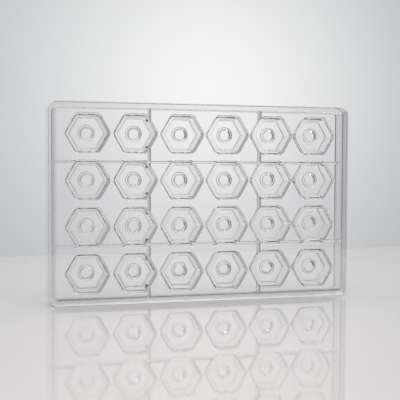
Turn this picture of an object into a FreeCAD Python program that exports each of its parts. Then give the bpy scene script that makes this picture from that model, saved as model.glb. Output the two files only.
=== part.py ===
import FreeCAD, Part
import math
import os
import Sketcher

# Clear polycarbonate mould for hexagonal sweets, injection moulded in one piece.
#
# The tray is drawn lying on its rim with the cavities opening upwards (+Z), and its
# Placement then stands it on a long side: the cavities open towards -Y, +X runs along
# the length and +Z up the width. All lengths are in millimetres and angles in degrees.

# Driving dimensions: name, value, what it measures
DIMENSIONS = (
    ("length", 275.0, "outside length of the tray"),
    ("width", 175.0, "outside width of the tray"),
    ("height", 24.0, "from the rim to the filling face"),
    ("corner_radius", 8.0, "outside corners of the tray"),
    ("wall", 4.0, "skirt wall at the rim"),
    ("rim_corner", 4.0, "inside corners of the rim"),
    ("skirt_draft", 2.0, "inside of the skirt"),
    ("step", 1.5, "height of the filling face above the ledge"),
    ("stack_gap", 1.1, "play between the filling face and the rim of the tray above"),
    ("plate", 3.0, "thickness of the plate"),
    ("columns", 6, "cavities along the length"),
    ("rows", 4, "cavities across the width"),
    ("column_pitch", 41.7, "from column to column"),
    ("row_pitch", 40.4, "from row to row"),
    ("mouth_flats", 28.6, "cavity across flats at the filling face"),
    ("mouth_corner", 2.5, "cavity corner radius at the filling face"),
    ("cavity_depth", 12.0, "from the filling face to the cavity floor"),
    ("cavity_draft", 7.0, "cavity walls and the nests around them"),
    ("nest_wall", 3.4, "wall around a cavity, level with the filling face"),
    ("floor_wall", 2.5, "under a cavity floor"),
    ("dimple_mouth", 12.0, "diameter of the dimple at the cavity floor"),
    ("dimple_depth", 2.2, "dimple below the cavity floor"),
    ("dimple_draft", 38.0, "side of the dimple"),
    ("boss_wall", 1.1, "round boss under a nest, beyond the dimple's mouth"),
    ("boss_depth", 0.9, "round boss below the foot of its nest"),
    ("rib_width", 2.8, "ribs under the plate, at their root"),
    ("rib_depth", 6.0, "ribs below the plate's underside"),
    ("rib_draft", 8.0, "sides of the ribs"),
    ("long_rib_y", 36.0, "long ribs from the middle line"),
    ("cross_rib_x", 50.8, "cross ribs from the middle line"),
    ("edge_round", 0.5, "rounding of the outside edges"),
    ("root_round", 2.0, "fillet between the skirt and the plate's underside"),
)

# Outward directions of the sides, in order, of the two outlines used here
RECTANGLE = (0, 90, 180, 270)
HEXAGON = (30, 90, 150, 210, 270, 330)


def make_sheet(doc):
    """Spreadsheet of the driving dimensions, one alias a row."""
    sheet = doc.addObject("Spreadsheet::Sheet", "sizes")
    for row, (name, value, meaning) in enumerate(DIMENSIONS, start=1):
        sheet.set("A%d" % row, name)
        sheet.set("B%d" % row, str(value))
        sheet.set("C%d" % row, meaning)
        sheet.setAlias("B%d" % row, name)
    doc.recompute()
    return sheet


def origin_feature(body, role):
    """The body's own origin plane or axis with the given role."""
    for feature in body.Origin.OriginFeatures:
        if feature.Role == role:
            return feature
    raise RuntimeError("no origin feature " + role)


def new_sketch(body, name, level, across="0", along="0"):
    """Sketch parallel to the rim plane; its place is given by expressions."""
    sketch = body.newObject("Sketcher::SketchObject", name)
    sketch.AttachmentSupport = [(origin_feature(body, "XY_Plane"), "")]
    sketch.MapMode = "FlatFace"
    sketch.setExpression("AttachmentOffset.Base.x", across)
    sketch.setExpression("AttachmentOffset.Base.y", along)
    sketch.setExpression("AttachmentOffset.Base.z", level)
    return sketch


def crossing(side_a, side_b):
    """Point where two sides meet; each side is (outward angle, distance from origin)."""
    angle_a, reach_a = math.radians(side_a[0]), side_a[1]
    angle_b, reach_b = math.radians(side_b[0]), side_b[1]
    spread = math.sin(angle_b - angle_a)
    x = (reach_a * math.sin(angle_b) - reach_b * math.sin(angle_a)) / spread
    y = (reach_b * math.cos(angle_a) - reach_a * math.cos(angle_b)) / spread
    return FreeCAD.Vector(x, y, 0)


def offset_point(point, angle, reach):
    """Point moved by reach in the direction of angle, in degrees."""
    turn = math.radians(angle)
    return point + FreeCAD.Vector(reach * math.cos(turn), reach * math.sin(turn), 0)


def bind(sketch, constraint, name, expression):
    """Adds a named constraint and ties its value to the sheet."""
    index = sketch.addConstraint(constraint)
    sketch.renameConstraint(index, name)
    sketch.setExpression("Constraints." + name, expression)


def draw_rounded_outline(sketch, angles, reaches, radius):
    """Closed outline of straight sides joined by tangent arcs, all held by the sheet.

    angles are the sides' outward directions, reaches the expressions of their
    distances from the sketch's origin, and radius that of the corner radius.
    """
    count = len(angles)
    corner = sketch.evalExpression(radius)
    sides = [(angle, sketch.evalExpression(reach)) for angle, reach in zip(angles, reaches)]
    inner = [(angle, reach - corner) for angle, reach in sides]
    centres = [crossing(inner[i], inner[(i + 1) % count]) for i in range(count)]
    lines, arcs = [], []
    for i, (angle, _reach) in enumerate(sides):
        start = offset_point(centres[i - 1], angle, corner)
        end = offset_point(centres[i], angle, corner)
        lines.append(sketch.addGeometry(Part.LineSegment(start, end), False))
    for i, centre in enumerate(centres):
        first = math.radians(angles[i])
        turn = math.radians((angles[(i + 1) % count] - angles[i]) % 360)
        circle = Part.Circle(centre, FreeCAD.Vector(0, 0, 1), corner)
        arcs.append(sketch.addGeometry(Part.ArcOfCircle(circle, first, first + turn), False))
    for i in range(count):
        sketch.addConstraint(Sketcher.Constraint("Tangent", lines[i], 2, arcs[i], 1))
        sketch.addConstraint(Sketcher.Constraint("Tangent", arcs[i], 2, lines[(i + 1) % count], 1))
    for arc in arcs[1:]:
        sketch.addConstraint(Sketcher.Constraint("Equal", arcs[0], arc))
    bind(sketch, Sketcher.Constraint("Radius", arcs[0], corner), "corner", radius)
    for i, (angle, reach) in enumerate(sides):
        direction = math.radians((angle + 90) % 360)
        sketch.addConstraint(Sketcher.Constraint("Angle", lines[i], direction))
        distance = Sketcher.Constraint("Distance", -1, 1, lines[i], reach)
        bind(sketch, distance, "side_%d" % i, reaches[i])


def draw_rectangle(sketch, half_length, half_width, radius):
    """Rounded rectangle about the sketch's origin."""
    reaches = (half_length, half_width, half_length, half_width)
    draw_rounded_outline(sketch, RECTANGLE, reaches, radius)


def draw_hexagon(sketch, flats, radius):
    """Rounded hexagon about the sketch's origin, with two flats parallel to X."""
    draw_rounded_outline(sketch, HEXAGON, ["(%s) / 2" % flats] * len(HEXAGON), radius)


def draw_circle(sketch, radius):
    """Circle about the sketch's origin."""
    start = Part.Circle(FreeCAD.Vector(), FreeCAD.Vector(0, 0, 1), sketch.evalExpression(radius))
    circle = sketch.addGeometry(start, False)
    sketch.addConstraint(Sketcher.Constraint("Coincident", circle, 3, -1, 1))
    bind(sketch, Sketcher.Constraint("Radius", circle, start.Radius), "radius", radius)


def draw_bar_pair(sketch, bars):
    """Rectangles with sharp corners; each is (left, right, bottom, top) as expressions."""
    for number, edges in enumerate(bars):
        left, right, bottom, top = [sketch.evalExpression(edge) for edge in edges]
        corners = [FreeCAD.Vector(*xy) for xy in
                   ((left, bottom), (right, bottom), (right, top), (left, top))]
        lines = [sketch.addGeometry(Part.LineSegment(corners[i], corners[(i + 1) % 4]), False)
                 for i in range(4)]
        for i in range(4):
            kind = "Vertical" if i % 2 else "Horizontal"
            sketch.addConstraint(Sketcher.Constraint("Coincident", lines[i], 2, lines[(i + 1) % 4], 1))
            sketch.addConstraint(Sketcher.Constraint(kind, lines[i]))
        for edge, line, axis in zip(edges, (3, 1, 0, 2), ("X", "X", "Y", "Y")):
            value = sketch.evalExpression(edge)
            distance = Sketcher.Constraint("Distance" + axis, -1, 1, lines[line], 1, value)
            bind(sketch, distance, "bar_%d_line_%d" % (number, line), edge)


def extrude(body, kind, name, sketch, reach, downwards, draft=None):
    """Pad or Pocket of a sketch; a draft narrows it away from the sketch."""
    feature = body.newObject("PartDesign::" + kind, name)
    feature.Profile = sketch
    feature.setExpression("Length", reach)
    pad_points_down = kind == "Pad" and downwards
    pocket_points_up = kind == "Pocket" and not downwards
    feature.Reversed = pad_points_down or pocket_points_up
    if draft:
        feature.setExpression("TaperAngle", "-(%s)" % draft)
    sketch.Visibility = False
    return feature


def grid(body, name, seeds):
    """Repeats the seed features over all the cavities, from the lower left one."""
    pattern = body.newObject("PartDesign::MultiTransform", name)
    steps = []
    for tag, axis, count, pitch in (("columns", "X_Axis", "columns", "column_pitch"),
                                    ("rows", "Y_Axis", "rows", "row_pitch")):
        step = body.newObject("PartDesign::LinearPattern", "%s_%s" % (name, tag))
        step.Direction = (origin_feature(body, axis), [""])
        step.setExpression("Occurrences", "sizes.%s" % count)
        step.setExpression("Length", "sizes.%s * (sizes.%s - 1)" % (pitch, count))
        steps.append(step)
    pattern.Originals = seeds
    pattern.Transformations = steps
    body.Tip = pattern
    return pattern


def make_tray(body):
    """Skirt, ledge, plate and the hollow behind them."""
    outline = new_sketch(body, "outline", "0")
    draw_rectangle(outline, "sizes.length / 2", "sizes.width / 2", "sizes.corner_radius")
    extrude(body, "Pad", "skirt", outline, "sizes.height - sizes.step", False)

    ledge = "(sizes.wall + sizes.stack_gap)"
    raised = new_sketch(body, "raised_outline", "sizes.height - sizes.step")
    draw_rectangle(raised, "sizes.length / 2 - " + ledge, "sizes.width / 2 - " + ledge,
                   "sizes.rim_corner - sizes.stack_gap")
    extrude(body, "Pad", "filling_face", raised, "sizes.step", False)

    back = new_sketch(body, "hollow_outline", "0")
    draw_rectangle(back, "sizes.length / 2 - sizes.wall", "sizes.width / 2 - sizes.wall",
                   "sizes.rim_corner")
    return extrude(body, "Pocket", "hollow", back, "sizes.height - sizes.plate", False,
                   "sizes.skirt_draft")


def make_nests(body):
    """Solid hexagonal nests behind the plate, each with a round boss under it."""
    across = "-sizes.column_pitch * (sizes.columns - 1) / 2"
    along = "-sizes.row_pitch * (sizes.rows - 1) / 2"
    growth = "2 * sizes.nest_wall - 2 * sizes.plate * tan(sizes.cavity_draft * 1deg)"
    under_plate = "sizes.height - sizes.plate"
    nest = new_sketch(body, "nest_outline", under_plate, across, along)
    draw_hexagon(nest, "sizes.mouth_flats + " + growth, "sizes.mouth_corner + sizes.nest_wall")
    shell = extrude(body, "Pad", "nest", nest,
                    "sizes.cavity_depth + sizes.floor_wall - sizes.plate", True, "sizes.cavity_draft")

    foot = "sizes.height - sizes.cavity_depth - sizes.floor_wall"
    round_foot = new_sketch(body, "boss_outline", foot, across, along)
    draw_circle(round_foot, "sizes.dimple_mouth / 2 + sizes.boss_wall")
    boss = extrude(body, "Pad", "boss", round_foot, "sizes.boss_depth", True, "sizes.cavity_draft")
    return grid(body, "all_nests", [shell, boss])


def make_ribs(body):
    """Two long ribs and two cross ribs under the plate, ending in the skirt."""
    reach_x = "(sizes.length - sizes.wall) / 2"
    reach_y = "(sizes.width - sizes.wall) / 2"
    half = "sizes.rib_width / 2"
    long_bars = []
    cross_bars = []
    for sign in ("", "-"):
        long_bars.append(("-" + reach_x, reach_x, "%ssizes.long_rib_y - %s" % (sign, half),
                          "%ssizes.long_rib_y + %s" % (sign, half)))
        cross_bars.append(("%ssizes.cross_rib_x - %s" % (sign, half),
                           "%ssizes.cross_rib_x + %s" % (sign, half), "-" + reach_y, reach_y))
    for name, bars in (("long_ribs", long_bars), ("cross_ribs", cross_bars)):
        sketch = new_sketch(body, name + "_outline", "sizes.height - sizes.plate")
        draw_bar_pair(sketch, bars)
        extrude(body, "Pad", name, sketch, "sizes.rib_depth", True, "sizes.rib_draft")


def make_cavities(body):
    """Tapered hexagonal cavities from the filling face, each with a dimple in its floor."""
    across = "-sizes.column_pitch * (sizes.columns - 1) / 2"
    along = "-sizes.row_pitch * (sizes.rows - 1) / 2"
    mouth = new_sketch(body, "mouth_outline", "sizes.height", across, along)
    draw_hexagon(mouth, "sizes.mouth_flats", "sizes.mouth_corner")
    cavity = extrude(body, "Pocket", "cavity", mouth, "sizes.cavity_depth", True,
                     "sizes.cavity_draft")

    dish = new_sketch(body, "dimple_outline", "sizes.height - sizes.cavity_depth", across, along)
    draw_circle(dish, "sizes.dimple_mouth / 2")
    dimple = extrude(body, "Pocket", "dimple", dish, "sizes.dimple_depth", True,
                     "sizes.dimple_draft")
    return grid(body, "all_cavities", [cavity, dimple])


def edges_at(shape, level, half_length):
    """Names of the edges that lie on a level and reach the given half length."""
    names = []
    for number, edge in enumerate(shape.Edges, start=1):
        box = edge.BoundBox
        flat = abs(box.ZMin - level) < 1e-4 and abs(box.ZMax - level) < 1e-4
        far = max(abs(box.XMin), abs(box.XMax)) > half_length - 1e-4
        if flat and far:
            names.append("Edge%d" % number)
    return names


def round_edges(body, name, level, half_length, radius):
    """Fillet along the outline that lies on a level and reaches a half length."""
    body.Document.recompute()
    base = body.Tip
    fillet = body.newObject("PartDesign::Fillet", name)
    fillet.Base = (base, edges_at(base.Shape, level, half_length))
    fillet.setExpression("Radius", radius)
    body.Tip = fillet
    return fillet


def stand_up(body):
    """Places the tray on its long side, middle of the footprint at the origin."""
    body.Placement = FreeCAD.Placement(FreeCAD.Vector(), FreeCAD.Rotation(FreeCAD.Vector(1, 0, 0), 90))
    body.setExpression("Placement.Base.y", "sizes.height / 2")
    body.setExpression("Placement.Base.z", "sizes.width / 2")


def make_mould(doc, sheet):
    """The whole mould: tray, nests, ribs and cavities in one body."""
    body = doc.addObject("PartDesign::Body", "mould")
    body.Label = "mould"
    make_tray(body)
    half_raised = sheet.length / 2 - sheet.wall - sheet.stack_gap
    round_edges(body, "face_edge", sheet.height, half_raised, "sizes.edge_round")
    round_edges(body, "ledge_edge", sheet.height - sheet.step, sheet.length / 2, "sizes.edge_round")
    round_edges(body, "rim_edge", 0, sheet.length / 2, "sizes.edge_round")
    hollow_depth = sheet.height - sheet.plate
    half_root = sheet.length / 2 - sheet.wall - hollow_depth * math.tan(math.radians(sheet.skirt_draft))
    round_edges(body, "skirt_root", hollow_depth, half_root, "sizes.root_round")
    make_nests(body)
    make_ribs(body)
    make_cavities(body)
    stand_up(body)
    return body


def check(doc, bodies):
    """Stops if any object failed or a body is not one valid solid."""
    for item in doc.Objects:
        if "Invalid" in item.State or "Error" in item.State:
            raise RuntimeError("%s did not recompute: %s" % (item.Name, item.State))
    for body in bodies:
        shape = body.Shape
        if shape.isNull() or not shape.isValid() or len(shape.Solids) != 1:
            raise RuntimeError(body.Label + " is not one valid solid")


def main():
    doc = FreeCAD.newDocument("hexagon_mould")
    sheet = make_sheet(doc)
    bodies = [make_mould(doc, sheet)]
    doc.recompute()
    check(doc, bodies)
    os.makedirs("parts", exist_ok=True)
    for body in bodies:
        body.Shape.exportStep("parts/%s.step" % body.Label)
        box = body.Shape.BoundBox
        print(body.Label, "volume %.1f cm3" % (body.Shape.Volume / 1000),
              "box %.2f x %.2f x %.2f mm" % (box.XLength, box.YLength, box.ZLength))


main()
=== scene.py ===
"""Clear polycarbonate mould for hexagonal sweets, standing on its long side."""
import bpy
import math
from itertools import product
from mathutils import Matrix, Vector


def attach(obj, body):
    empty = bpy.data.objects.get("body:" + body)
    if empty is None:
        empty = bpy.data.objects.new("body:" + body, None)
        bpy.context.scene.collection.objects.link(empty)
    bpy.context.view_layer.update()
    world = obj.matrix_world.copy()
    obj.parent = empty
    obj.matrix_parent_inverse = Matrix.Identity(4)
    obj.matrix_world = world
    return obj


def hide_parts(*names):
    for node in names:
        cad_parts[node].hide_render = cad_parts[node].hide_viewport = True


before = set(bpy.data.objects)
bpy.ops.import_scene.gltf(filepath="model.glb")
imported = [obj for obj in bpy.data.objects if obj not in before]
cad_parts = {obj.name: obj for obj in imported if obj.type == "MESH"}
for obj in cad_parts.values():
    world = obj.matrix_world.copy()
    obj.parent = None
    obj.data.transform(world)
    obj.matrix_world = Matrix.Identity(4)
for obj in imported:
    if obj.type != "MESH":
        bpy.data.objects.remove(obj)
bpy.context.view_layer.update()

# Sizes of the moulding, in metres and degrees: input name, value.
# The tray is drawn lying on its rim, cavities up, and stood on its side at the end.
TRAY_SIZES = (
    ("Length", 0.275),
    ("Width", 0.175),
    ("Height", 0.024),
    ("Corner radius", 0.008),
    ("Skirt wall", 0.004),
    ("Skirt draft", 2.0),
    ("Ledge drop", 0.0015),
    ("Stacking play", 0.0011),
    ("Plate", 0.003),
    ("Edge round", 0.0005),
    ("Skirt root round", 0.002),
)
CAVITY_SIZES = (
    ("Columns", 6),
    ("Rows", 4),
    ("Column pitch", 0.0417),
    ("Row pitch", 0.0404),
    ("Mouth flats", 0.0286),
    ("Mouth corner", 0.0025),
    ("Cavity depth", 0.012),
    ("Wall draft", 7.0),
    ("Nest wall", 0.0034),
    ("Floor wall", 0.0025),
    ("Dimple mouth", 0.012),
    ("Dimple depth", 0.0022),
    ("Dimple draft", 38.0),
    ("Boss wall", 0.0011),
    ("Boss depth", 0.0009),
    ("Mouth round", 0.0004),
    ("Cavity floor round", 0.0007),
    ("Dimple lip round", 0.0006),
    ("Boss round", 0.0004),
    ("Nest root round", 0.0006),
    ("Nest foot round", 0.0008),
)
RIB_SIZES = (
    ("Rib width", 0.0028),
    ("Rib depth", 0.006),
    ("Rib draft", 8.0),
    ("Rib tip round", 0.0005),
    ("Rib sink", 0.001),
    ("Long rib offset", 0.036),
    ("Cross rib offset", 0.0508),
)

# A hexagon: its sides, and its reach to the corners over its reach to the flats
HEXAGON_SIDES = 6
HEXAGON_CORNER = 1 / math.cos(math.radians(30))
QUARTER_TURN = math.radians(90)

# How far a section runs along a flat past a rounding, in radii of the rounding, and how far
# along the filling face
RUN_OUT = 1.15
FACE_RUN_OUT = 2.0
# The ribs end inside the nests' walls: how far in, as a share of the wall, and the height
# of the hexagonal cores that cut them there, in rib depths
RIB_BITE = 0.35
CORE_HEIGHT = 3.0

# Straight pieces in a corner of the outline, in an edge's rounding and in a full circle
CORNER_STEPS = 6
EDGE_STEPS = 4
CIRCLE_STEPS = 48
# Points closer than this are one, in metres
SAME_PLACE = 2e-6
# Turns smaller than this are shaded smooth, in degrees, with broad faces kept flat
SMOOTH_UNDER = 28.0
BROAD_FACE_WEIGHT = 90

# Plastic: tint of its surface, tint and strength of its depth, then the slow ripple of its
# flow in the mould and the faint haze of handling
PLASTIC_TINT = (0.997, 0.993, 0.997)
PLASTIC_IOR = 1.585
PLASTIC_BODY = (0.79, 0.76, 0.79)
PLASTIC_DENSITY = 18.0
FLOW_SCALE = 45.0
FLOW_DETAIL = 1.0
FLOW_STRENGTH = 0.03
FLOW_DEPTH = 0.0005
HANDLING_SCALE = 110.0
HANDLING_DETAIL = 4.0
HANDLING_RANGE = (0.5, 0.8)
HANDLING_HAZE = 0.012

# Glossy table and the paper behind it, in metres: the table from its left front to its right
# back corner, the paper from its left lower to its right upper one
TABLE_COLOUR = (0.825, 0.8, 0.79)
TABLE_ROUGHNESS = 0.03
TABLE_BOX = ((-1.5, -2.0), (1.5, 0.4))
TABLE_THICKNESS = 0.01
PAPER_COLOUR = (0.8, 0.8, 0.8)
PAPER_ROUGHNESS = 0.8
PAPER_PLACE = 0.95
PAPER_THICKNESS = 0.01
PAPER_BOX = ((-0.9, -0.6), (0.95, 1.6))

# Spots of light on paper. Squeeze is one over the spot's reach along each axis, in metres,
# and 0 where it has no end; Power is how sharply it falls off.
PAPER_GLOW = {"Centre": (0.276, 0.95, 0.2825), "Squeeze": (1 / 0.474, 1.0, 1 / 0.4435),
              "Power": 1.777, "Far level": 0.39, "Middle level": 0.922}
GLOW_TINTS = {"Far tint": (0.975, 1.0, 1.035, 1.0), "Middle tint": (1.0, 1.0, 0.996, 1.0)}

# White cards out of view, which the mould mirrors: name, lowest and highest corner, glow
CARDS = (
    ("side_card", (-0.92, -0.5, 0.0), (-0.9, 2.2, 2.0),
     {"Centre": (-0.9, 0.8, 0.8), "Squeeze": (0.0, 1 / 2.5, 1 / 2.0),
      "Power": 2.0, "Far level": 0.3, "Middle level": 0.64}),
    ("front_card", (-0.6, -1.95, 0.0), (1.8, -1.93, 1.2),
     {"Centre": (0.5, -1.93, 0.2), "Squeeze": (1 / 0.42, 0.0, 1 / 2.0),
      "Power": 2.0, "Far level": 0.1, "Middle level": 0.62}),
)

# Soft boxes: name, place, target, size and watts
LAMPS = (
    ("top box", (0.0, -0.6, 1.3), (0.0, -0.5, 0.0), 2.2, 20.5),
    ("side box", (0.7, 0.75, 0.9), (0.0, 0.0, 0.09), 0.25, 0.5),
)
ROOM_LIGHT = 0.2

# Camera, in metres and degrees, its lens and sensor in millimetres
CAMERA_PLACE = (-0.1971, -0.7107, 0.1203)
CAMERA_TURN = (87.635, -0.2638, -15.326)
CAMERA_LENS = 73.89
CAMERA_SENSOR = 36.0
CAMERA_NEAR = 0.01


class Size:
    """A number in a node tree, for sums written out as Python writes them."""

    def __init__(self, tree, socket):
        self.tree = tree
        self.socket = socket

    def combine(self, operation, other):
        node = put(self.tree, "ShaderNodeMath", {0: self, 1: other}, operation=operation)
        return Size(self.tree, node.outputs[0])

    def __add__(self, other):
        return self.combine("ADD", other)

    def __sub__(self, other):
        return self.combine("SUBTRACT", other)

    def __mul__(self, other):
        return self.combine("MULTIPLY", other)

    def __neg__(self):
        return self.combine("MULTIPLY", -1.0)

    def tangent(self):
        """Tangent of an angle in degrees."""
        turn = put(self.tree, "ShaderNodeMath", {0: self}, operation="RADIANS")
        node = put(self.tree, "ShaderNodeMath", {0: turn.outputs[0]}, operation="TANGENT")
        return Size(self.tree, node.outputs[0])


def feed(tree, entry, value):
    """Feeds an input from a Size or a socket, or gives it a value."""
    value = value.socket if isinstance(value, Size) else value
    if isinstance(value, bpy.types.NodeSocket):
        tree.links.new(value, entry)
    else:
        entry.default_value = value


def put(tree, kind, feeds=None, **settings):
    """Adds a node with its settings, each input fed by a socket or given a value."""
    node = tree.nodes.new(kind)
    for name, value in settings.items():
        setattr(node, name, value)
    for key, value in (feeds or {}).items():
        feed(tree, node.inputs[key], value)
    return node


def new_tree(name, inputs):
    """Geometry node tree with one geometry output and named inputs; None marks a geometry."""
    tree = bpy.data.node_groups.new(name, "GeometryNodeTree")
    for label, value in inputs:
        if value is None:
            tree.interface.new_socket(label, in_out="INPUT", socket_type="NodeSocketGeometry")
            continue
        kind = "NodeSocketInt" if isinstance(value, int) else "NodeSocketFloat"
        tree.interface.new_socket(label, in_out="INPUT", socket_type=kind).default_value = value
    tree.interface.new_socket("Geometry", in_out="OUTPUT", socket_type="NodeSocketGeometry")
    source = tree.nodes.new("NodeGroupInput")
    sizes = {label: Size(tree, source.outputs[label]) for label, _value in inputs}
    return tree, sizes


def finish_tree(tree, geometry):
    """Sends the geometry to the tree's output."""
    put(tree, "NodeGroupOutput", {0: geometry})
    return tree


def use(tree, group, feeds):
    """Places a group in a tree and gives its geometry."""
    return put(tree, "GeometryNodeGroup", feeds, node_tree=group).outputs[0]


def join(tree, parts):
    """Joins several geometries."""
    node = tree.nodes.new("GeometryNodeJoinGeometry")
    for part in reversed(parts):
        tree.links.new(part, node.inputs[0])
    return node.outputs[0]


def section(tree, points, closed=False):
    """Cross-section as a curve; each point is (outwards, downwards, rounding)."""
    line = put(tree, "GeometryNodeMeshLine", {"Count": len(points)})
    index = tree.nodes.new("GeometryNodeInputIndex").outputs[0]
    place = put(tree, "GeometryNodeIndexSwitch", {0: index}, data_type="VECTOR")
    rounding = put(tree, "GeometryNodeIndexSwitch", {0: index}, data_type="FLOAT")
    for choice in (place, rounding):
        while len(choice.index_switch_items) < len(points):
            choice.index_switch_items.new()
    for number, (outwards, downwards, radius) in enumerate(points, start=1):
        spot = put(tree, "ShaderNodeCombineXYZ", {0: outwards, 1: downwards})
        feed(tree, place.inputs[number], spot.outputs[0])
        feed(tree, rounding.inputs[number], radius)
    placed = put(tree, "GeometryNodeSetPosition",
                 {0: line.outputs[0], "Position": place.outputs[0]})
    curve = put(tree, "GeometryNodeMeshToCurve", {0: placed.outputs[0]}).outputs[0]
    if closed:
        curve = put(tree, "GeometryNodeSetSplineCyclic", {0: curve, "Cyclic": True}).outputs[0]
    return fillet(tree, curve, rounding.outputs[0], EDGE_STEPS)


def fillet(tree, curve, radius, steps):
    """Rounds a curve's corners."""
    feeds = {"Curve": curve, "Radius": radius, "Limit Radius": True, "Count": steps}
    return put(tree, "GeometryNodeFilletCurve", feeds, mode="POLY").outputs[0]


def sweep_section(tree, path, profile, caps=False):
    """Runs a section along a level path, its first axis pointing out of the path."""
    upright = put(tree, "GeometryNodeSetCurveNormal", {0: path}, mode="Z_UP")
    feeds = {"Curve": upright.outputs[0], "Profile Curve": profile, "Fill Caps": caps}
    return put(tree, "GeometryNodeCurveToMesh", feeds).outputs[0]


def lift(tree, geometry, height):
    """Moves a geometry up."""
    up = put(tree, "ShaderNodeCombineXYZ", {2: height}).outputs[0]
    return put(tree, "GeometryNodeTransform", {0: geometry, "Translation": up}).outputs[0]


def unite(tree, solids):
    """Union of closed solids."""
    node = put(tree, "GeometryNodeMeshBoolean", operation="UNION", solver="MANIFOLD")
    for solid in solids:
        tree.links.new(solid, node.inputs["Mesh 2"])
    return node.outputs[0]


def hexagon(tree, flats, corner):
    """Rounded hexagon as a curve, two of its flats parallel to X."""
    reach = flats * (0.5 * HEXAGON_CORNER)
    ring = put(tree, "GeometryNodeCurvePrimitiveCircle", {
        "Resolution": HEXAGON_SIDES, "Radius": reach})
    return fillet(tree, ring.outputs[0], corner, CORNER_STEPS)


def circle(tree, diameter):
    """Circle as a curve."""
    ring = put(tree, "GeometryNodeCurvePrimitiveCircle",
               {"Resolution": CIRCLE_STEPS, "Radius": diameter * 0.5})
    return ring.outputs[0]


def make_drop_wall():
    """Group: a tapered wall that runs down from a closed path, rounded above and below."""
    tree, size = new_tree("drop wall", (("Path", None), ("Drop", 0.01), ("Draft", 5.0),
                                        ("Upper round", 0.0005), ("Lower round", 0.0005)))
    inset = size["Drop"] * size["Draft"].tangent()
    profile = section(tree, (
        (size["Upper round"] * RUN_OUT, 0.0, 0.0),
        (0.0, 0.0, size["Upper round"]),
        (-inset, size["Drop"], size["Lower round"]),
        (-inset - size["Lower round"] * RUN_OUT, size["Drop"], 0.0),
    ))
    return finish_tree(tree, sweep_section(tree, size["Path"], profile))


def make_level_face():
    """Group: closes the open loops of a mesh that lie on one level with a flat face."""
    tree, size = new_tree("level face", (("Mesh", None), ("Level", 0.0)))
    # An edge of one face is open; the whole numbers of this node are its inputs 2 and 3
    faces = tree.nodes.new("GeometryNodeInputMeshEdgeNeighbors").outputs[0]
    single = put(tree, "FunctionNodeCompare", {2: faces, 3: 1}, data_type="INT",
                 operation="EQUAL")
    place = tree.nodes.new("GeometryNodeInputPosition").outputs[0]
    height = put(tree, "ShaderNodeSeparateXYZ", {0: place}).outputs[2]
    level = put(tree, "ShaderNodeMath", {0: height, 1: size["Level"], 2: SAME_PLACE},
                operation="COMPARE")
    both = put(tree, "FunctionNodeBooleanMath", {0: single.outputs[0], 1: level.outputs[0]},
               operation="AND")
    loops = put(tree, "GeometryNodeMeshToCurve", {0: size["Mesh"], "Selection": both.outputs[0]})
    flat = put(tree, "GeometryNodeFillCurve", {0: loops.outputs[0]})
    face = lift(tree, flat.outputs[0], size["Level"])
    return finish_tree(tree, face)


def make_pocket(drop_wall, level_face):
    """Group: hexagonal cup or nest with a round dimple or boss in the middle of its floor."""
    inputs = (("Flats", 0.03), ("Corner", 0.003), ("Top", 0.024), ("Drop", 0.012), ("Draft", 7.0),
              ("Upper round", 0.0005), ("Lower round", 0.0005), ("Round diameter", 0.012),
              ("Round drop", 0.002), ("Round draft", 30.0), ("Lip round", 0.0005))
    tree, size = new_tree("hexagonal pocket", inputs)
    outline = lift(tree, hexagon(tree, size["Flats"], size["Corner"]), size["Top"])
    wall = use(tree, drop_wall, {
        "Path": outline, "Drop": size["Drop"], "Draft": size["Draft"],
        "Upper round": size["Upper round"], "Lower round": size["Lower round"]})
    floor = size["Top"] - size["Drop"]
    ring = lift(tree, circle(tree, size["Round diameter"]), floor)
    dish = use(tree, drop_wall, {
        "Path": ring, "Drop": size["Round drop"], "Draft": size["Round draft"],
        "Upper round": size["Lip round"], "Lower round": size["Lip round"]})
    walls = join(tree, (wall, dish))
    step = use(tree, level_face, {"Mesh": walls, "Level": floor})
    bottom = use(tree, level_face, {"Mesh": walls, "Level": floor - size["Round drop"]})
    floors = put(tree, "GeometryNodeFlipFaces", {0: join(tree, (step, bottom))})
    return finish_tree(tree, join(tree, (walls, floors.outputs[0])))


def make_rib_pair():
    """Group: two ribs along X, each the same distance from the middle line."""
    tree, size = new_tree("rib pair", (("Reach", 0.13), ("Offset", 0.03), ("Top", 0.021),
                                       ("Width", 0.002), ("Depth", 0.004), ("Draft", 5.0),
                                       ("Tip round", 0.0005), ("Sink", 0.001)))
    half = size["Width"] * 0.5
    slope = size["Draft"].tangent()
    tip = half - slope * size["Depth"]
    root = half + slope * size["Sink"]
    profile = section(tree, (
        (root, -size["Sink"], 0.0),
        (tip, size["Depth"], size["Tip round"]),
        (-tip, size["Depth"], size["Tip round"]),
        (-root, -size["Sink"], 0.0),
    ), closed=True)
    start = put(tree, "ShaderNodeCombineXYZ", {0: -size["Reach"], 2: size["Top"]})
    end = put(tree, "ShaderNodeCombineXYZ", {0: size["Reach"], 2: size["Top"]})
    line = put(tree, "GeometryNodeCurvePrimitiveLine", {0: start.outputs[0], 1: end.outputs[0]})
    bar = sweep_section(tree, line.outputs[0], profile, caps=True)
    pair = []
    for side in (1.0, -1.0):
        shift = put(tree, "ShaderNodeCombineXYZ", {1: size["Offset"] * side})
        moved = put(tree, "GeometryNodeTransform", {0: bar, "Translation": shift.outputs[0]})
        pair.append(moved.outputs[0])
    return finish_tree(tree, join(tree, pair))


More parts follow.
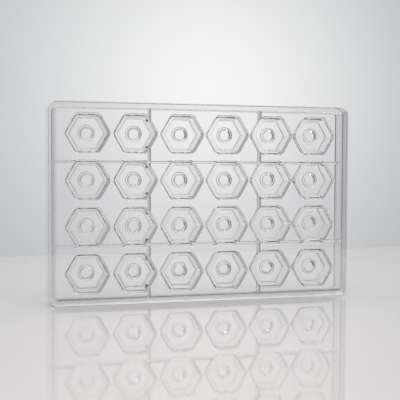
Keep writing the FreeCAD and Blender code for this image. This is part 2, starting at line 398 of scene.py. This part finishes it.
def tray_wall(tree, size):
    """Filling face edge, ledge, skirt and rim: one section run round the tray."""
    frame_line = put(tree, "GeometryNodeCurvePrimitiveQuadrilateral",
                     {"Width": size["Length"], "Height": size["Width"]})
    outline = fillet(tree, frame_line.outputs[0], size["Corner radius"], CORNER_STEPS)
    edge = size["Edge round"]
    play = size["Skirt wall"] + size["Stacking play"]
    hollow = size["Height"] - size["Plate"]
    inside = -size["Skirt wall"] - hollow * size["Skirt draft"].tangent()
    ledge = size["Height"] - size["Ledge drop"]
    profile = section(tree, (
        (-play - edge * FACE_RUN_OUT, -size["Height"], 0.0),
        (-play, -size["Height"], edge),
        (-play, -ledge, edge),
        (0.0, -ledge, edge),
        (0.0, 0.0, edge),
        (-size["Skirt wall"], 0.0, edge),
        (inside, -hollow, size["Skirt root round"]),
        (inside - size["Skirt root round"] * RUN_OUT, -hollow, 0.0),
    ))
    return sweep_section(tree, outline, profile)


def on_grid(tree, size, cell):
    """A cell on every point of the cavity grid."""
    wide = size["Column pitch"] * (size["Columns"] - 1)
    high = size["Row pitch"] * (size["Rows"] - 1)
    points = put(tree, "GeometryNodeMeshGrid", {
        "Size X": wide, "Size Y": high, "Vertices X": size["Columns"], "Vertices Y": size["Rows"]})
    spread = put(tree, "GeometryNodeInstanceOnPoints", {0: points.outputs[0], "Instance": cell})
    return put(tree, "GeometryNodeRealizeInstances", {0: spread.outputs[0]}).outputs[0]


def make_mould_tree(finish):
    """The whole mould, from its sizes."""
    tree, size = new_tree("hexagon mould", TRAY_SIZES + CAVITY_SIZES + RIB_SIZES)
    drop_wall = make_drop_wall()
    level_face = make_level_face()
    pocket = make_pocket(drop_wall, level_face)
    rib_pair = make_rib_pair()

    underside = size["Height"] - size["Plate"]
    lean = size["Wall draft"].tangent()
    nest_flats = size["Mouth flats"] + (size["Nest wall"] - size["Plate"] * lean) * 2.0
    cup = use(tree, pocket, {
        "Flats": size["Mouth flats"], "Corner": size["Mouth corner"], "Top": size["Height"],
        "Drop": size["Cavity depth"], "Draft": size["Wall draft"],
        "Upper round": size["Mouth round"], "Lower round": size["Cavity floor round"],
        "Round diameter": size["Dimple mouth"], "Round drop": size["Dimple depth"],
        "Round draft": size["Dimple draft"], "Lip round": size["Dimple lip round"]})
    nest = use(tree, pocket, {
        "Flats": nest_flats, "Corner": size["Mouth corner"] + size["Nest wall"], "Top": underside,
        "Drop": size["Cavity depth"] + size["Floor wall"] - size["Plate"],
        "Draft": size["Wall draft"], "Upper round": size["Nest root round"],
        "Lower round": size["Nest foot round"],
        "Round diameter": size["Dimple mouth"] + size["Boss wall"] * 2.0,
        "Round drop": size["Boss depth"], "Round draft": size["Wall draft"],
        "Lip round": size["Boss round"]})
    cups = on_grid(tree, size, cup)
    nests = on_grid(tree, size, nest)
    tray = tray_wall(tree, size)
    face = use(tree, level_face, {"Mesh": join(tree, (cups, tray)), "Level": size["Height"]})
    back = use(tree, level_face, {"Mesh": join(tree, (nests, tray)), "Level": underside})
    turned = [put(tree, "GeometryNodeFlipFaces", {0: part}).outputs[0] for part in (cups, back)]
    shell = join(tree, [nests, tray, face] + turned)
    body = put(tree, "GeometryNodeMergeByDistance", {0: shell, "Distance": SAME_PLACE}).outputs[0]

    rib_sizes = {"Top": underside, "Width": size["Rib width"], "Depth": size["Rib depth"],
                 "Draft": size["Rib draft"], "Tip round": size["Rib tip round"],
                 "Sink": size["Rib sink"]}
    long_ribs = use(tree, rib_pair, {"Reach": (size["Length"] - size["Skirt wall"]) * 0.5,
                                     "Offset": size["Long rib offset"], **rib_sizes})
    cross_ribs = use(tree, rib_pair, {"Reach": (size["Width"] - size["Skirt wall"]) * 0.5,
                                      "Offset": size["Cross rib offset"], **rib_sizes})
    cross_ribs = put(tree, "GeometryNodeTransform",
                     {0: cross_ribs, "Rotation": (0.0, 0.0, QUARTER_TURN)}).outputs[0]
    core_reach = (nest_flats * 0.5 - size["Nest wall"] * RIB_BITE) * HEXAGON_CORNER
    core = put(tree, "GeometryNodeMeshCylinder", {
        "Vertices": HEXAGON_SIDES, "Radius": core_reach, "Depth": size["Rib depth"] * CORE_HEIGHT})
    cores = on_grid(tree, size, lift(tree, core.outputs[0], underside))
    cut = put(tree, "GeometryNodeMeshBoolean",
              {"Mesh 1": unite(tree, (long_ribs, cross_ribs)), "Mesh 2": cores},
              operation="DIFFERENCE", solver="MANIFOLD")
    whole = unite(tree, (body, cut.outputs[0]))

    stand = put(tree, "ShaderNodeCombineXYZ", {1: size["Height"] * 0.5, 2: size["Width"] * 0.5})
    upright = put(tree, "GeometryNodeTransform", {
        0: whole, "Translation": stand.outputs[0], "Rotation": (QUARTER_TURN, 0.0, 0.0)})
    plain = put(tree, "GeometryNodeRealizeInstances", {0: upright.outputs[0]})
    dressed = put(tree, "GeometryNodeSetMaterial", {0: plain.outputs[0], "Material": finish})
    return finish_tree(tree, dressed.outputs[0])


def clear_polycarbonate():
    """Water-clear moulded plastic."""
    material = bpy.data.materials.new("clear_polycarbonate")
    material.use_nodes = True
    tree = material.node_tree
    shader = tree.nodes["Principled BSDF"]
    shader.inputs["Base Color"].default_value = (*PLASTIC_TINT, 1.0)
    shader.inputs["IOR"].default_value = PLASTIC_IOR
    shader.inputs["Transmission Weight"].default_value = 1.0
    place = tree.nodes.new("ShaderNodeTexCoord").outputs["Object"]
    flow = put(tree, "ShaderNodeTexNoise", {"Vector": place, "Scale": FLOW_SCALE,
                                            "Detail": FLOW_DETAIL})
    ripple = put(tree, "ShaderNodeBump", {"Height": flow.outputs[0], "Strength": FLOW_STRENGTH,
                                          "Distance": FLOW_DEPTH})
    tree.links.new(ripple.outputs[0], shader.inputs["Normal"])
    handling = put(tree, "ShaderNodeTexNoise", {"Vector": place, "Scale": HANDLING_SCALE,
                                                "Detail": HANDLING_DETAIL})
    clean, handled = HANDLING_RANGE
    haze = put(tree, "ShaderNodeMapRange", {"Value": handling.outputs[0], "From Min": clean,
                                            "From Max": handled, "To Max": HANDLING_HAZE})
    tree.links.new(haze.outputs[0], shader.inputs["Roughness"])
    body = put(tree, "ShaderNodeVolumeAbsorption",
               {"Color": (*PLASTIC_BODY, 1.0), "Density": PLASTIC_DENSITY})
    tree.links.new(body.outputs[0], tree.nodes["Material Output"].inputs["Volume"])
    return material


def make_mould():
    """The mould as one plain mesh, with flat faces shaded flat up to their roundings."""
    plan_object = bpy.data.objects.new("mould plan", bpy.data.meshes.new("mould plan"))
    bpy.context.collection.objects.link(plan_object)
    plan = plan_object.modifiers.new("mould", "NODES")
    plan.node_group = make_mould_tree(clear_polycarbonate())
    wanted = dict(TRAY_SIZES + CAVITY_SIZES + RIB_SIZES)
    for item in plan.node_group.interface.items_tree:
        if item.in_out == "INPUT":
            plan[item.identifier] = wanted[item.name]
    graph = bpy.context.evaluated_depsgraph_get()
    mesh = bpy.data.meshes.new_from_object(plan_object.evaluated_get(graph))
    bpy.data.objects.remove(plan_object)
    mould = bpy.data.objects.new("clear_mould", mesh)
    bpy.context.collection.objects.link(mould)
    bpy.context.view_layer.objects.active = mould
    mould.select_set(True)
    bpy.ops.object.shade_smooth_by_angle(angle=math.radians(SMOOTH_UNDER))
    even = mould.modifiers.new("flat faces", "WEIGHTED_NORMAL")
    even.keep_sharp = True
    even.weight = BROAD_FACE_WEIGHT
    return mould


def make_spot_glow():
    """Shader group: brightness and tint of lit paper, from far off to the middle of one spot."""
    tree = bpy.data.node_groups.new("spot glow", "ShaderNodeTree")
    for kind, labels in (("NodeSocketVector", ("Centre", "Squeeze")),
                         ("NodeSocketFloat", ("Power", "Far level", "Middle level")),
                         ("NodeSocketColor", ("Far tint", "Middle tint"))):
        for label in labels:
            tree.interface.new_socket(label, in_out="INPUT", socket_type=kind)
    tree.interface.new_socket("Level", in_out="OUTPUT", socket_type="NodeSocketFloat")
    tree.interface.new_socket("Tint", in_out="OUTPUT", socket_type="NodeSocketColor")
    given = tree.nodes.new("NodeGroupInput").outputs
    place = tree.nodes.new("ShaderNodeTexCoord").outputs["Object"]
    shift = put(tree, "ShaderNodeVectorMath", {0: place, 1: given["Centre"]}, operation="SUBTRACT")
    squeezed = put(tree, "ShaderNodeVectorMath", {0: shift.outputs[0], 1: given["Squeeze"]},
                   operation="MULTIPLY")
    reach = put(tree, "ShaderNodeVectorMath", {0: squeezed.outputs[0]}, operation="LENGTH")
    fade = put(tree, "ShaderNodeMath", {0: reach.outputs["Value"], 1: given["Power"]},
               operation="POWER")
    fade = put(tree, "ShaderNodeMath", {0: fade.outputs[0], 1: -1.0}, operation="MULTIPLY")
    fade = put(tree, "ShaderNodeMath", {0: fade.outputs[0]}, operation="EXPONENT").outputs[0]
    level = put(tree, "ShaderNodeMapRange", {"Value": fade, "To Min": given["Far level"],
                                             "To Max": given["Middle level"]})
    # The colours of this node are its inputs 6 and 7 and its output 2
    tint = put(tree, "ShaderNodeMix", {"Factor": fade, 6: given["Far tint"],
                                       7: given["Middle tint"]}, data_type="RGBA")
    put(tree, "NodeGroupOutput", {"Level": level.outputs[0], "Tint": tint.outputs[2]})
    return tree


def plain_material(name, colour, roughness):
    """Opaque material of one colour."""
    material = bpy.data.materials.new(name)
    material.use_nodes = True
    surface = material.node_tree.nodes["Principled BSDF"]
    surface.inputs["Base Color"].default_value = (*colour, 1.0)
    surface.inputs["Roughness"].default_value = roughness
    return material


def glowing_paper(name, spot_glow, glow):
    """Pale paper that glows for camera, gloss and glass only, and lights nothing."""
    material = plain_material(name, PAPER_COLOUR, PAPER_ROUGHNESS)
    tree = material.node_tree
    surface = tree.nodes["Principled BSDF"]
    light = put(tree, "ShaderNodeGroup", {**glow, **GLOW_TINTS}, node_tree=spot_glow).outputs
    shine = put(tree, "ShaderNodeEmission", {"Color": light["Tint"], "Strength": light["Level"]})
    rays = tree.nodes.new("ShaderNodeLightPath").outputs
    seen = put(tree, "ShaderNodeMath", {0: rays["Is Camera Ray"], 1: rays["Is Glossy Ray"]},
               operation="MAXIMUM")
    seen = put(tree, "ShaderNodeMath", {0: seen.outputs[0], 1: rays["Is Transmission Ray"]},
               operation="MAXIMUM")
    mix = put(tree, "ShaderNodeMixShader", {0: seen.outputs[0], 1: surface.outputs[0],
                                            2: shine.outputs[0]})
    tree.links.new(mix.outputs[0], tree.nodes["Material Output"].inputs["Surface"])
    return material


def make_block(name, low, high, material):
    """Box between two corners."""
    corners = list(product(*zip(low, high)))
    faces = [(0, 1, 3, 2), (4, 6, 7, 5), (0, 4, 5, 1), (2, 3, 7, 6), (0, 2, 6, 4), (1, 5, 7, 3)]
    mesh = bpy.data.meshes.new(name)
    mesh.from_pydata(corners, [], faces)
    mesh.materials.append(material)
    block = bpy.data.objects.new(name, mesh)
    bpy.context.collection.objects.link(block)
    return block


def make_table():
    """Glossy table whose far edge shows behind the mould."""
    (left, front), (right, back) = TABLE_BOX
    return make_block("studio_table", (left, front, -TABLE_THICKNESS), (right, back, 0.0),
                      plain_material("table_acrylic", TABLE_COLOUR, TABLE_ROUGHNESS))


def make_backdrop(spot_glow):
    """Upright paper behind the table."""
    (left, bottom), (right, top) = PAPER_BOX
    return make_block("studio_backdrop", (left, PAPER_PLACE, bottom),
                      (right, PAPER_PLACE + PAPER_THICKNESS, top),
                      glowing_paper("backdrop_paper", spot_glow, PAPER_GLOW))


def make_cards(spot_glow):
    """White cards beside and before the mould."""
    return [make_block("studio_" + name, low, high,
                       glowing_paper(name + "_paper", spot_glow, glow))
            for name, low, high, glow in CARDS]


def aim(thing, place, target):
    """Puts a lamp at a place and points it at a target."""
    thing.location = place
    thing.rotation_euler = (Vector(target) - Vector(place)).to_track_quat("-Z", "Y").to_euler()


def add_lamps():
    """Soft boxes above and beside the mould."""
    for name, place, target, size, power in LAMPS:
        lamp = bpy.data.lights.new(name, "AREA")
        lamp.size = size
        lamp.energy = power
        box = bpy.data.objects.new(name, lamp)
        bpy.context.collection.objects.link(box)
        aim(box, place, target)


def add_camera():
    """Camera at the photograph's place."""
    camera = bpy.data.objects.new("camera", bpy.data.cameras.new("camera"))
    bpy.context.collection.objects.link(camera)
    camera.location = CAMERA_PLACE
    camera.rotation_euler = [math.radians(angle) for angle in CAMERA_TURN]
    camera.data.lens = CAMERA_LENS
    camera.data.sensor_width = CAMERA_SENSOR
    camera.data.clip_start = CAMERA_NEAR
    bpy.context.scene.camera = camera


def add_room_light():
    """Even light from the room."""
    world = bpy.data.worlds.new("room")
    bpy.context.scene.world = world
    world.use_nodes = True
    world.node_tree.nodes["Background"].inputs["Color"].default_value = (1.0, 1.0, 1.0, 1.0)
    world.node_tree.nodes["Background"].inputs["Strength"].default_value = ROOM_LIGHT


mould = make_mould()
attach(mould, "root")
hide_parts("mould")

spot_glow = make_spot_glow()
for backing in [make_table(), make_backdrop(spot_glow)] + make_cards(spot_glow):
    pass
add_lamps()
add_camera()
add_room_light()
bpy.context.scene.view_settings.view_transform = "Standard"
